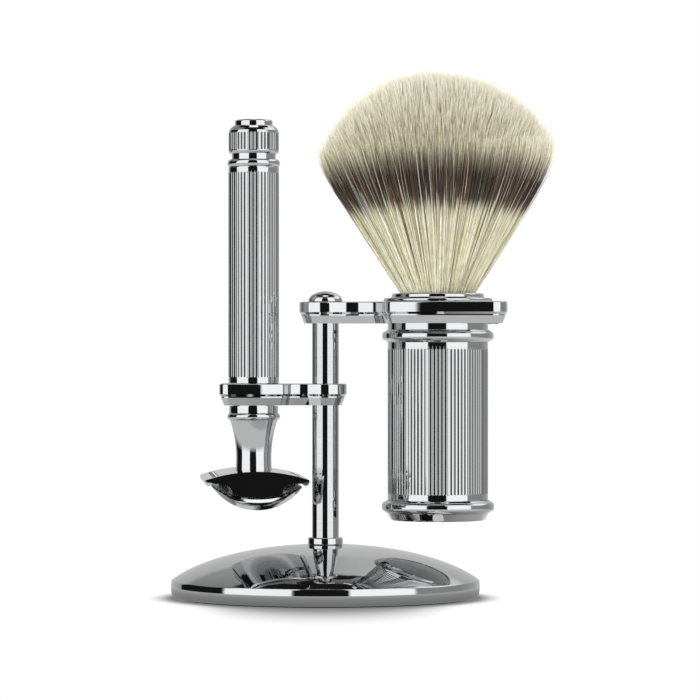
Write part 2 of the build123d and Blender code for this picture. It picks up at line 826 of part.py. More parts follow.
def brush_rim():
    """Flange that rests on the arm, with the rim around the hair and a spigot down into the neck."""
    low = brush_neck_top
    step = low + flange_height
    high = step + rim_rise
    inner = brush_sleeve_bore - seat_gap
    return turned(
        (rim_bore, low - rim_sink),
        (inner, low - rim_sink),
        (inner, low),
        (flange_radius - 0.2, low),
        ((flange_radius, low + flange_height * 0.45), (flange_radius - 0.3, step)),
        (rim_radius + 0.3, step + 0.12),
        (rim_radius + 0.1, step + 0.25),
        (rim_radius, high - 0.45),
        ((rim_radius - 0.15, high - 0.12), (rim_radius - 0.55, high)),
        (rim_bore + 0.35, high),
        ((rim_bore + 0.1, high - 0.1), (rim_bore, high - 0.35)),
    )


core_low = brush_sleeve_foot + 3


def brush_ballast():
    radius = brush_sleeve_bore - 2 * seat_gap
    return drum(radius, core_low, core_low + ballast_height)


def brush_core():
    """Moulded core that fills the sleeve and carries the hair's socket."""
    radius = brush_sleeve_bore - 2 * seat_gap
    low = core_low + ballast_height
    return drum(radius, low, brush_neck_top - rim_sink)


def brush_socket():
    """Cup that the hair is set in."""
    low = brush_neck_top - rim_sink
    high = brush_neck_top + flange_height + rim_rise - knot_sink
    cup = drum(rim_bore - seat_gap, low, high)
    return cup - drum(knot_root_radius, high - knot_root_depth, high + 1)


def brush_knot():
    """Outer shape of the hair: a straight flare from the socket up to a domed top."""
    high = brush_neck_top + flange_height + rim_rise - knot_sink
    low = high - knot_root_depth
    leave = high + knot_leave
    root = knot_root_radius - seat_gap
    shoulder = (knot_radius - knot_corner, knot_widest + 2 * knot_corner)
    return turned(
        (0, low),
        (root, low),
        (root, leave),
        (knot_radius - knot_corner, knot_widest - 2 * knot_corner),
        ((knot_radius, knot_widest), shoulder),
        crown_arc(*shoulder, knot_top),
    )


def on_razor(solid):
    return Pos(-razor_reach, 0, 0) * solid


def on_head(solid):
    return Pos(-razor_reach, 0, 0) * (Rot(0, 0, head_turn) * solid)


def on_brush(solid):
    return Pos(brush_reach, 0, 0) * solid


nodes = {
    "base_shell": base_shell,
    "base_weight": base_weight,
    "base_pad": base_pad,
    "base_screw": base_screw,
    "base_washer": base_washer,
    "post_collar": post_collar,
    "lower_post": lower_post,
    "upper_post": upper_post,
    "tie_rod": tie_rod,
    "dome_nut": dome_nut,
    "razor_arm": razor_arm,
    "brush_arm": brush_arm,
    "razor_neck": lambda: on_razor(razor_neck()),
    "razor_sleeve": lambda: on_razor(razor_sleeve()),
    "razor_core": lambda: on_razor(razor_core()),
    "razor_end_collar": lambda: on_razor(razor_end_collar()),
    "razor_end_knob": lambda: on_razor(razor_end_knob()),
    "razor_end_button": lambda: on_razor(razor_end_button()),
    "razor_baseplate": lambda: on_head(razor_baseplate()),
    "razor_blade": lambda: on_head(razor_blade()),
    "razor_cap": lambda: on_head(razor_cap()),
    "razor_cap_stud": lambda: on_head(razor_cap_stud()),
    "brush_foot": lambda: on_brush(brush_foot()),
    "brush_foot_ring": lambda: on_brush(brush_foot_ring()),
    "brush_sleeve": lambda: on_brush(brush_sleeve()),
    "brush_neck": lambda: on_brush(brush_neck()),
    "brush_rim": lambda: on_brush(brush_rim()),
    "brush_ballast": lambda: on_brush(brush_ballast()),
    "brush_core": lambda: on_brush(brush_core()),
    "brush_socket": lambda: on_brush(brush_socket()),
    "brush_knot": lambda: on_brush(brush_knot()),
}

os.makedirs("parts", exist_ok=True)
for name, make in nodes.items():
    export_step(make(), f"parts/{name}.step")
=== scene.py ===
"""A chrome shaving stand with its safety razor and shaving brush, rendered on a pale studio floor."""

import json
import math

import bpy
import numpy as np
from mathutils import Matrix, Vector


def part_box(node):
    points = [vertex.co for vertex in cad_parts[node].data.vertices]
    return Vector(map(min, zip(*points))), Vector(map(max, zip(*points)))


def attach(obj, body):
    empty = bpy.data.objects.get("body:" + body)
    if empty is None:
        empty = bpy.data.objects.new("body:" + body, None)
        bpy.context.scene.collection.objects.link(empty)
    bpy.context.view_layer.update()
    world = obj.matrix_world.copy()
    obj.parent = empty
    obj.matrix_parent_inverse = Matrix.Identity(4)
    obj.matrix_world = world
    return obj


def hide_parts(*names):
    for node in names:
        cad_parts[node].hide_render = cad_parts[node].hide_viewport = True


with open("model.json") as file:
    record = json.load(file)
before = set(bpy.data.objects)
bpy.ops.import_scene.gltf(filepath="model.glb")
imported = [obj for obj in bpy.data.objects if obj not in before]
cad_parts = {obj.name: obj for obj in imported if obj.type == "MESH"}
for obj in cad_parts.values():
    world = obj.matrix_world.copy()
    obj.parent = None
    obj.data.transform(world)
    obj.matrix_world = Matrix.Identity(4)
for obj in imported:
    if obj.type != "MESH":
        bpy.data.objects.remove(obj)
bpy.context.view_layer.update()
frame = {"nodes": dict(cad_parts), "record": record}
scene = bpy.context.scene
MM = 0.001


# ---- node helpers -----------------------------------------------------------------------------
class Graph:
    """A small helper that adds nodes to a tree and joins them."""

    def __init__(self, tree):
        self.tree = tree

    def add(self, kind, links=None, **settings):
        node = self.tree.nodes.new(kind)
        for name, value in settings.items():
            setattr(node, name, value)
        for name, value in (links or {}).items():
            socket = node.inputs[name]
            if isinstance(value, bpy.types.NodeSocket):
                self.tree.links.new(value, socket)
            else:
                socket.default_value = value
        return node

    def math(self, operation, a, b=0.0, c=0.0, clamp=False):
        node = self.add("ShaderNodeMath", {0: a, 1: b, 2: c}, operation=operation, use_clamp=clamp)
        return node.outputs[0]

    def ramp(self, value, stops, interpolation="LINEAR"):
        node = self.add("ShaderNodeValToRGB", {"Fac": value})
        node.color_ramp.interpolation = interpolation
        elements = node.color_ramp.elements
        while len(elements) > 1:
            elements.remove(elements[-1])
        for i, (place, colour) in enumerate(stops):
            if not isinstance(colour, (tuple, list)):
                colour = (colour, colour, colour)
            element = elements[0] if i == 0 else elements.new(place)
            element.position = place
            element.color = (*colour, 1.0)
        return node.outputs["Color"]

    def mix(self, factor, a, b, blend="MIX"):
        node = self.add("ShaderNodeMix", data_type="RGBA", blend_type=blend)
        for socket, value in ((node.inputs[0], factor), (node.inputs[6], a), (node.inputs[7], b)):
            if isinstance(value, bpy.types.NodeSocket):
                self.tree.links.new(value, socket)
            elif socket == node.inputs[0]:
                socket.default_value = value
            else:
                socket.default_value = (*value, 1.0)
        return node.outputs[2]

    def noise(self, vector, scale, detail=2.0, roughness=0.5):
        inputs = {"Vector": vector, "Scale": scale, "Detail": detail, "Roughness": roughness}
        return self.add("ShaderNodeTexNoise", inputs).outputs["Fac"]

    def over_height(self, height, stops):
        """A ramp over the height of a direction: 0 is straight down, 0.5 level and 1 straight up."""
        return self.ramp(self.math("MULTIPLY_ADD", height, 0.5, 0.5), stops)


def new_material(name):
    material = bpy.data.materials.new(name)
    material.use_nodes = True
    tree = material.node_tree
    graph = Graph(tree)
    shader = tree.nodes["Principled BSDF"]
    place = graph.add("ShaderNodeTexCoord").outputs["Object"]
    return material, graph, shader, place


def stretch(graph, place, scale):
    return graph.add("ShaderNodeMapping", {"Vector": place, "Scale": scale}).outputs["Vector"]


def finish_surface(graph, shader, colour, rough, metallic=0.0, relief=None, strength=0.0, distance=0.0):
    """Join colour and roughness to the shader, and relief as a bump where there is one."""
    graph.tree.links.new(colour, shader.inputs["Base Color"])
    graph.tree.links.new(rough, shader.inputs["Roughness"])
    shader.inputs["Metallic"].default_value = metallic
    if relief is not None:
        bump = graph.add("ShaderNodeBump", {"Height": relief, "Strength": strength, "Distance": distance})
        graph.tree.links.new(bump.outputs["Normal"], shader.inputs["Normal"])


# ---- materials --------------------------------------------------------------------------------
def chrome(name, tint=(0.60, 0.605, 0.61), roughness=0.02, rings=0.0, painted_groove_shade=0.0):
    """Bright chrome plate: faint cloudiness, wiping marks and hairline scratches.

    rings adds turning marks; the groove setting paints shade where the mesh's groove value is 1, deep in
    flutes.
    """
    material, graph, shader, place = new_material(name)
    cloud = graph.noise(place, 90.0, 4.0, 0.6)
    wipe = graph.noise(stretch(graph, place, (240.0, 240.0, 900.0)), 1.0, 3.0, 0.6)
    scratch = graph.noise(stretch(graph, place, (5200.0, 5200.0, 160.0)), 1.0, 2.0, 0.5)
    hairline = graph.ramp(scratch, [(0.0, 0.0), (0.66, 0.0), (0.74, 1.0), (1.0, 1.0)])
    rough = graph.math("MULTIPLY_ADD", cloud, 0.02, roughness - 0.01)
    rough = graph.math("MULTIPLY_ADD", wipe, 0.012, rough)
    rough = graph.math("MULTIPLY_ADD", hairline, 0.02, rough)
    shade = tuple(c * 0.94 for c in tint)
    colour = graph.mix(cloud, shade, tint)
    if rings:
        turning = graph.noise(stretch(graph, place, (120.0, 120.0, 5000.0)), 1.0, 2.0, 0.7)
        dull = tuple(c * 0.4 for c in tint)
        colour = graph.mix(graph.math("MULTIPLY", turning, rings), colour, dull)
        rough = graph.math("MULTIPLY_ADD", turning, 0.06 * rings, rough)
    # painted shade: the colour turns near black deep in the flute grooves
    if painted_groove_shade:
        groove = graph.add("ShaderNodeAttribute", attribute_name="groove").outputs["Fac"]
        groove_shade_mask = graph.math("MULTIPLY", groove, 3.0, clamp=True)
        colour = graph.mix(graph.math("MULTIPLY", groove_shade_mask, painted_groove_shade), colour, (0.02, 0.02, 0.02))
    finish_surface(graph, shader, colour, rough, metallic=1.0)
    return material


def steel(name):
    """Turned steel with fine rings across its length."""
    material, graph, shader, place = new_material(name)
    rings = graph.noise(stretch(graph, place, (60.0, 60.0, 6000.0)), 1.0, 3.0, 0.6)
    colour = graph.mix(rings, (0.42, 0.42, 0.43), (0.62, 0.62, 0.63))
    rough = graph.math("MULTIPLY_ADD", rings, 0.2, 0.18)
    finish_surface(graph, shader, colour, rough, metallic=1.0, relief=rings, strength=0.08, distance=0.0001)
    return material


def cast_iron(name):
    """Rough grey casting."""
    material, graph, shader, place = new_material(name)
    grain = graph.noise(place, 1400.0, 5.0, 0.65)
    stain = graph.noise(place, 120.0, 3.0, 0.5)
    colour = graph.mix(stain, (0.10, 0.10, 0.105), (0.19, 0.18, 0.175))
    rough = graph.math("MULTIPLY_ADD", grain, 0.25, 0.5)
    finish_surface(graph, shader, colour, rough, metallic=0.7, relief=grain, strength=0.5, distance=0.0003)
    return material


def soft_rubber(name):
    """Matt black foam rubber."""
    material, graph, shader, place = new_material(name)
    pores = graph.add("ShaderNodeTexVoronoi", {"Vector": place, "Scale": 2200.0}).outputs["Distance"]
    dust = graph.noise(place, 260.0, 4.0, 0.6)
    colour = graph.mix(dust, (0.012, 0.012, 0.013), (0.04, 0.04, 0.042))
    rough = graph.math("MULTIPLY_ADD", dust, 0.15, 0.75)
    finish_surface(graph, shader, colour, rough, relief=pores, strength=0.4, distance=0.0002)
    return material


def cast_resin(name):
    """Cream casting resin with a slight cloud."""
    material, graph, shader, place = new_material(name)
    cloud = graph.noise(place, 200.0, 3.0, 0.5)
    colour = graph.mix(cloud, (0.52, 0.47, 0.36), (0.62, 0.57, 0.46))
    finish_surface(graph, shader, colour, graph.math("MULTIPLY_ADD", cloud, 0.15, 0.4))
    return material


BLEACHED = 0.95           # fibres whose own number is above this are pale and a little wilder
BAND_SPAN = 60.0          # the ramps along a fibre run over this distance from its root, in millimetres
# painted shade: the hair's colour darkens with depth inside the tuft, down to this depth
INNER_SHADE_DEPTH = 4.0         # a fibre this far inside the tuft is at its darkest, in millimetres


def hair(name):
    """Banded bristle: cream root and tip, a dark band between, each fibre with its own tone.

    The mesh carries three values per point: band (distance from the root, in millimetres, that the band
    sees), depth (how far inside the tuft the point lies, in millimetres; deeper points get painted shade)
    and fibre (one random number for each fibre; above BLEACHED the fibre has hardly any band).
    """
    material, graph, shader, place = new_material(name)

    def carried(value):
        return graph.add("ShaderNodeAttribute", attribute_name=value).outputs["Fac"]

    along = graph.math("DIVIDE", carried("band"), BAND_SPAN)
    fibre = carried("fibre")
    # two more random numbers, made from the one that each fibre carries
    tone = graph.math("FRACT", graph.math("MULTIPLY", fibre, 37.0))
    kind = graph.math("FRACT", graph.math("MULTIPLY", fibre, 91.0))
    bleached = graph.math("GREATER_THAN", fibre, BLEACHED)
    streak = graph.noise(stretch(graph, place, (900.0, 900.0, 60.0)), 1.0, 3.0, 0.6)
    cream = graph.ramp(
        tone,
        [
            (0.0, (0.08, 0.06, 0.02)),
            (0.12, (0.34, 0.29, 0.12)),
            (0.26, (0.72, 0.68, 0.43)),
            (0.52, (0.89, 0.86, 0.68)),
            (1.0, (0.98, 0.96, 0.88)),
        ],
    )
    yellow = graph.ramp(streak, [(0.0, 0.55), (0.40, 0.40), (0.52, 0.0), (1.0, 0.0)])
    cream = graph.mix(yellow, cream, (0.56, 0.51, 0.25))
    tip = graph.ramp(along, [(0.0, 0.0), (0.66, 0.0), (0.80, 0.75), (1.0, 0.9)])
    colour = graph.mix(tip, cream, (0.90, 0.89, 0.80))
    colour = graph.mix(bleached, colour, (0.92, 0.91, 0.83))
    dark = graph.ramp(
        kind,
        [
            (0.0, (0.005, 0.004, 0.004)),
            (0.38, (0.012, 0.009, 0.008)),
            (0.56, (0.034, 0.019, 0.011)),
            (0.70, (0.080, 0.036, 0.018)),
            (0.80, (0.24, 0.070, 0.025)),
            (0.85, (0.06, 0.045, 0.030)),
            (1.0, (0.17, 0.135, 0.090)),
        ],
    )
    band = graph.ramp(
        along, [(0.0, 0.0), (0.39, 0.0), (0.44, 0.95), (0.56, 1.0), (0.62, 0.7), (0.68, 0.08), (0.74, 0.0)]
    )
    banded = graph.math("SUBTRACT", 1.0, graph.math("MULTIPLY", bleached, 0.72))
    colour = graph.mix(graph.math("MULTIPLY", band, banded), colour, dark)
    # painted shade: the colour darkens towards dark olive the deeper a point lies inside the tuft
    inside = graph.math("DIVIDE", carried("depth"), INNER_SHADE_DEPTH)
    inner_shade = graph.ramp(inside, [(0.0, 0.0), (0.12, 0.04), (0.6, 0.45), (1.0, 0.7)])
    colour = graph.mix(inner_shade, colour, (0.36, 0.30, 0.15), "MULTIPLY")
    graph.tree.links.new(colour, shader.inputs["Base Color"])
    shader.inputs["Roughness"].default_value = 0.45
    shader.inputs["Specular IOR Level"].default_value = 0.2
    return material


MATERIALS = {
    "chrome": chrome("mirror_chrome"),
    "turned": chrome("turned_chrome", rings=0.35),
    "fluted": chrome("fluted_chrome", painted_groove_shade=0.45),
    "steel": steel("turned_steel"),
    "iron": cast_iron("cast_iron"),
    "rubber": soft_rubber("foam_rubber"),
    "resin": cast_resin("cast_resin"),
    "hair": hair("bristle"),
}
TURNED_NODES = ("lower_post", "upper_post")
SLOT_OF = {s["node"]: s["material_slot"] for s in frame["record"]["subparts"]}
for node, piece in frame["nodes"].items():
    for slot in piece.material_slots:
        slot.material = MATERIALS["turned" if node in TURNED_NODES else SLOT_OF[node]]


# ---- mesh helpers -----------------------------------------------------------------------------
def mesh_object(name, points, faces, body, material):
    """A smooth-shaded mesh that rides on a body."""
    mesh = bpy.data.meshes.new(name)
    mesh.from_pydata(points.tolist(), [], faces.tolist())
    mesh.update()
    mesh.polygons.foreach_set("use_smooth", [True] * len(mesh.polygons))
    mesh.materials.append(material)
    piece = bpy.data.objects.new(name, mesh)
    scene.collection.objects.link(piece)
    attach(piece, body)
    return piece


def carry(piece, name, values):
    """Store one value for each point, for the material to read."""
    attribute = piece.data.attributes.new(name, "FLOAT", "POINT")
    attribute.data.foreach_set("value", values.ravel().astype(np.float32))


def ring_points(radius, angle, z):
    """Points round the origin at a height; radius is one number, or one for each angle."""
    return np.stack([radius * np.cos(angle), radius * np.sin(angle), np.full(len(angle), z)], axis=1)


def shell_of_rows(count, around):
    """Quads between rows of points, each row a closed ring; they face outward for rows going up."""
    here = np.arange(around)
    following = np.roll(here, -1)
    faces = []
    for k in range(count - 1):
        low = k * around
        high = low + around
        faces.append(np.stack([low + here, low + following, high + following, high + here], axis=1))
    return np.concatenate(faces)


# ---- fluted sleeves ---------------------------------------------------------------------------
# millimetres, unless a share
FLUTE_FLAT = 0.12         # half-width of the flat bottom of a flute, as a share of the flute's half-width
FLUTE_STEPS = (-1.0, -0.7, -0.4, -FLUTE_FLAT, FLUTE_FLAT, 0.4, 0.7, 1.0)     # across, in half-widths
FLUTE_END_STEPS = 7       # rings over the round end of a flute
SHARPEST = 12             # edges sharper than this many degrees stay crisp
FLUTE_SHARE = 0.56        # width of a flute over its pitch
EDGE = 0.15               # rounding at the ends of a sleeve
HANDLE_FLUTES = 46
HANDLE_CREST = 6.1
HANDLE_BORE = 4.4
KNOB_CREST = 6.05
KNOB_BORE = 2.7
KNOB_HEIGHT = 6.8
BRUSH_FLUTES = 85
BRUSH_CREST = 12.1
BRUSH_BORE = 10.6


def fluted_sleeve(name, node, body, flutes, crest, share, depth, flute_low, flute_high, foot, head):
    """A turned sleeve with round-ended flutes milled into it.

    crest is the outside radius, share the width of a flute over its pitch, flute_low and flute_high the
    heights of its ends. foot and head are the (radius, height) points below and above. Millimetres.
    """
    low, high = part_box(node)
    centre = (low + high) / 2
    pitch = 2 * math.pi * crest / flutes
    half = pitch * share / 2
    across = np.concatenate([[-pitch / 2], np.array(FLUTE_STEPS) * half])
    angle = (np.arange(flutes)[:, None] * pitch + across[None, :]).ravel() / crest
    across = np.tile(across, flutes)
    around = len(angle)
    cap = half * (1 - np.cos(np.linspace(0, math.pi / 2, FLUTE_END_STEPS)))
    heights = np.concatenate([flute_low + cap, flute_high - cap[::-1]])

    def fluted_radius(z):
        beyond = max(0.0, flute_low + half - z, z - (flute_high - half))
        away = np.sqrt(across**2 + beyond**2) / half
        return crest - depth * np.clip((1 - away) / (1 - FLUTE_FLAT), 0, 1)

    rings = [*foot, *((fluted_radius(z), z) for z in heights), *head]
    points = np.concatenate([ring_points(r, angle, z) for r, z in rings])
    points = points * MM + np.array([centre.x, centre.y, 0.0])
    piece = mesh_object(name, points, shell_of_rows(len(rings), around), body, MATERIALS["fluted"])
    sunk = [(crest - fluted_radius(z)) / depth for z in heights]
    plain = [np.zeros(around)]
    carry(piece, "groove", np.concatenate(plain * len(foot) + sunk + plain * len(head)))
    piece.data.set_sharp_from_angle(angle=math.radians(SHARPEST))
    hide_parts(node)
    return piece


def node_heights(node):
    low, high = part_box(node)
    return low.z / MM, high.z / MM


def plain_end(bore, crest, z, upward):
    """Points of the plain end of a sleeve, from flute to bore when upward, from bore to flute when not."""
    turn = EDGE if upward else -EDGE
    points = [(crest, z - turn * 1.2), (crest, z - turn), (crest - EDGE * 0.3, z - turn * 0.3)]
    points += [(crest - EDGE, z), (bore, z)]
    return points if upward else points[::-1]


def build_sleeves():
    low, high = node_heights("razor_sleeve")
    fluted_sleeve(
        "razor_sleeve_fluted", "razor_sleeve", "razor_handle",
        flutes=HANDLE_FLUTES, crest=HANDLE_CREST, share=FLUTE_SHARE, depth=0.10,
        flute_low=low + 1.5, flute_high=high - 1.3,
        foot=plain_end(HANDLE_BORE, HANDLE_CREST, low, upward=False),
        head=plain_end(HANDLE_BORE, HANDLE_CREST, high, upward=True),
    )
    low = node_heights("razor_end_knob")[0]
    high = low + KNOB_HEIGHT
    fluted_sleeve(
        "razor_end_knob_fluted", "razor_end_knob", "razor_handle",
        flutes=HANDLE_FLUTES, crest=KNOB_CREST, share=0.6, depth=0.12,
        flute_low=low + 0.8, flute_high=high - 1.7,
        foot=[(KNOB_BORE, low), (5.5, low), (5.8, low + 0.12), (5.97, low + 0.35), (KNOB_CREST, low + 0.7)],
        head=[
            (KNOB_CREST, high - 1.6), (5.95, high - 1.2), (5.6, high - 0.65), (5.15, high - 0.2),
            (4.8, high), (KNOB_BORE, high),
        ],
    )
    low, high = node_heights("brush_sleeve")
    fluted_sleeve(
        "brush_sleeve_fluted", "brush_sleeve", "brush",
        flutes=BRUSH_FLUTES, crest=BRUSH_CREST, share=FLUTE_SHARE, depth=0.105,
        flute_low=low + 1.5, flute_high=high - 1.7,
        foot=plain_end(BRUSH_BORE, BRUSH_CREST, low, upward=False),
        head=plain_end(BRUSH_BORE, BRUSH_CREST, high, upward=True),
    )


build_sleeves()


# ---- hair knot --------------------------------------------------------------------------------
# millimetres, unless a share
KNOT_LOW, KNOT_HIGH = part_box("brush_knot")
KNOT_AXIS = (KNOT_LOW.x + KNOT_HIGH.x) / 2 / MM
RIM_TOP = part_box("brush_rim")[1].z / MM
ROOT_RADIUS = 8.6
ROOT_HEIGHT = RIM_TOP - 0.6
FLARE = 0.605             # how fast the outside of the fan spreads
CURL_FROM = 24.0          # height above the root where the outer hair starts to stand up
CURL_OVER = 12.0          # height over which it does so
CURL = 0.0135             # and how strongly
WIDEST = 27.9
CROWN_TOP = 127.4
LEAN = -0.75              # sideways drift of the tuft at LEAN_HEIGHT above the root
LEAN_HEIGHT = 34.0
CORNER_HEIGHT = 108.0     # where the side of the fan meets the domed crown
CORNER_TILT = 2.6         # how much higher the corner is on the +X side
FULL_SPREAD = 40.0        # height above the root where stray fibres have drifted fully
WILD = 1.7                # how much further a bleached fibre drifts
BAND_DROOP = 3.2          # how much nearer the root the dark band is at BAND_EDGE from the axis
BAND_EDGE = 27.0
# The layers, outermost first. shares: of the root radius, between which the fibres leave. from_tip: length
# of a fibre that starts inside the tuft, None for one that shows to its root. short: how far below the
# crown the fibres end, as a spread.
HAIR_LAYERS = {
    "outer": dict(
        pieces=4, count=3600, seed=11, shares=(0.90, 1.0), from_tip=None,
        thickness=0.18, stray=0.62, short=2.2,
    ),
    "middle": dict(
        pieces=3, count=5000, seed=31, shares=(0.68, 0.90), from_tip=34.0,
        thickness=0.19, stray=0.7, short=1.2,
    ),
    "crown": dict(
        pieces=3, count=5800, seed=51, shares=(0.0, 0.70), from_tip=16.0,
        thickness=0.19, stray=0.7, short=0.6,
    ),
}


def crown_radius(z, corner):
    """Radius of the domed top at a height, for a fan whose corner is at the given height."""
    rise = np.clip((z - corner) / (CROWN_TOP - corner), 0, 1)
    return (WIDEST + 0.1) * np.sqrt(1 - rise**1.4)


def fan_radius(z, share=1.0):
    """Distance from the axis, at a height, of a fibre that leaves at this share of the root radius."""
    height = z - ROOT_HEIGHT
    straight = share * (ROOT_RADIUS + FLARE * height)
    curled = straight - CURL * share**6 * np.clip(height - CURL_FROM, 0, CURL_OVER) ** 2
    return np.minimum(curled, WIDEST)


def tip_height(share, corner):
    """Height where a fibre that leaves at this share of the root radius meets the crown."""
    low = np.full(np.broadcast(share, corner).shape, ROOT_HEIGHT)
    high = np.full(low.shape, CROWN_TOP)
    for _ in range(24):
        middle = (low + high) / 2
        inside = fan_radius(middle, share) < crown_radius(middle, corner)
        low = np.where(inside, middle, low)
        high = np.where(inside, high, middle)
    return low


def tapered_tubes(x, y, z, width, roll):
    """Points and faces of three-sided tubes; x, y, z and width have a row for each fibre, roll a number."""
    count, steps = z.shape
    sides = []
    for k in range(3):
        a = (roll + k * 2 * math.pi / 3)[:, None]
        sides.append(np.stack([x + width * np.cos(a) / 2, y + width * np.sin(a) / 2, z], axis=2))
    points = np.stack(sides, axis=2).reshape(-1, 3)
    first = np.arange(count) * steps * 3
    faces = (shell_of_rows(steps, 3)[None] + first[:, None, None]).reshape(-1, 4)
    return points, faces


def build_fibres(name, seed, count, shares, from_tip, thickness, stray, short):
    """Thousands of tapered three-sided fibres between two shares of the fan's width."""
    random = np.random.default_rng(seed)
    share = np.sqrt(random.uniform(shares[0] ** 2, shares[1] ** 2, count))
    turn = random.uniform(0, 2 * math.pi, count)
    fibre = random.uniform(0, 1, count)
    wild = fibre > BLEACHED
    corner = CORNER_HEIGHT + CORNER_TILT * np.cos(turn)
    tip = tip_height(share, corner) + random.normal(0, 0.3, count) - np.abs(random.normal(0, short, count))
    if from_tip is None:
        steps = 9
        start = np.full(count, ROOT_HEIGHT - 0.8)
    else:
        steps = 5
        start = tip - from_tip * random.uniform(0.8, 1.2, count)
    along = np.linspace(0, 1, steps)[None, :] ** 0.9
    z = start[:, None] + (tip - start)[:, None] * along

    # each fibre drifts away from its place, the more the higher it is
    spread = (z - ROOT_HEIGHT) / FULL_SPREAD
    drift = stray * np.where(wild, WILD, 1.0)
    wander = random.normal(0, 1, (count, 2)) * drift[:, None]
    bow = random.normal(0, 1.2, (count, 2)) * drift[:, None]
    radius = fan_radius(z, share[:, None])
    x = radius * np.cos(turn)[:, None] + spread * (wander[:, :1] + bow[:, :1] * (1 - spread))
    y = radius * np.sin(turn)[:, None] + spread * (wander[:, 1:] + bow[:, 1:] * (1 - spread))

    # what the material reads: the band's place along the fibre, and the depth inside the tuft, which it
    # darkens as painted shade
    run = np.sqrt((z - ROOT_HEIGHT) ** 2 + (radius - share[:, None] * ROOT_RADIUS) ** 2)
    late = np.where(random.uniform(0, 1, count) < 0.15, random.uniform(-5.0, 3.0, count), 0.0)
    shift = (random.normal(0, 1.1, count) + late)[:, None]
    band = run + shift + BAND_DROOP * (x / BAND_EDGE) ** 2 + 0.2
    out = np.sqrt(x**2 + y**2)
    share_there = np.minimum(out / (ROOT_RADIUS + FLARE * (z - ROOT_HEIGHT)), 1.0)
    below_crown = tip_height(share_there, corner[:, None]) - z
    depth = np.minimum((fan_radius(z) - out) * 0.85, below_crown)
    depth = np.maximum(depth, 0.0) + random.uniform(0, 0.5, count)[:, None]

    x = x + LEAN * (np.maximum(z - ROOT_HEIGHT, 0) / LEAN_HEIGHT) ** 1.5
    girth = thickness * np.where(wild, 0.62, random.uniform(0.7, 1.25, count))
    width = girth[:, None] * np.interp(along, [0, 0.6, 1], [1.0, 0.95, 0.2])
    points, faces = tapered_tubes(x, y, z, width, random.uniform(0, 2 * math.pi, count))
    points[:, 0] += KNOT_AXIS
    piece = mesh_object(name, points * MM, faces, "brush", MATERIALS["hair"])
    carry(piece, "band", np.repeat(band, 3, axis=1))
    carry(piece, "depth", np.repeat(depth, 3, axis=1))
    carry(piece, "fibre", np.repeat(fibre, steps * 3))
    return piece


def build_knot():
    """All layers of the knot. The chrome doesn't mirror them, as the photo's chrome shows no colour."""
    fibres = []
    for layer, values in HAIR_LAYERS.items():
        values = dict(values)
        seed = values.pop("seed")
        for i in range(values.pop("pieces")):
            fibres.append(build_fibres(f"hair_{layer}_{i + 1}", seed + i, **values))
    for piece in fibres:
        piece.visible_glossy = False
        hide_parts("brush_knot")


build_knot()


# ---- studio -----------------------------------------------------------------------------------
# brightness of what the chrome sees; metres and degrees
DARK = 0.012
DRAPE = 0.015
LAMP = 1.6
LEFT_BOX = 1.45
RIGHT_BOX = 1.5
BELOW = 0.75
FILL = (1.78, 1.77, 1.70)          # light on everything that isn't a mirror
FLOOR_RADIUS = 0.16
FLOOR_RINGS = (0.0, 0.02, 0.04, 0.06, 0.09, 0.14, FLOOR_RADIUS)
SHADOW_FROM = 0.037                # the soft shadow starts at the base's edge
SHADOW_REACH = 0.006               # and reaches this far beyond it
SHADOW_IN_FRONT = 0.048            # with this much more straight in front
CAMERA_PLACE = (0.00593, -0.8916, 0.0598)
CAMERA_LENS = 190.0
LAMPS = {
    "lamp_top": dict(place=(0.0, -0.15, 0.9), size=0.7, power=5.0),
    "lamp_left": dict(place=(-0.7, -0.5, 0.45), size=0.5, power=3.0),
}
LAMP_AIM = (0.0, 0.0, 0.08)


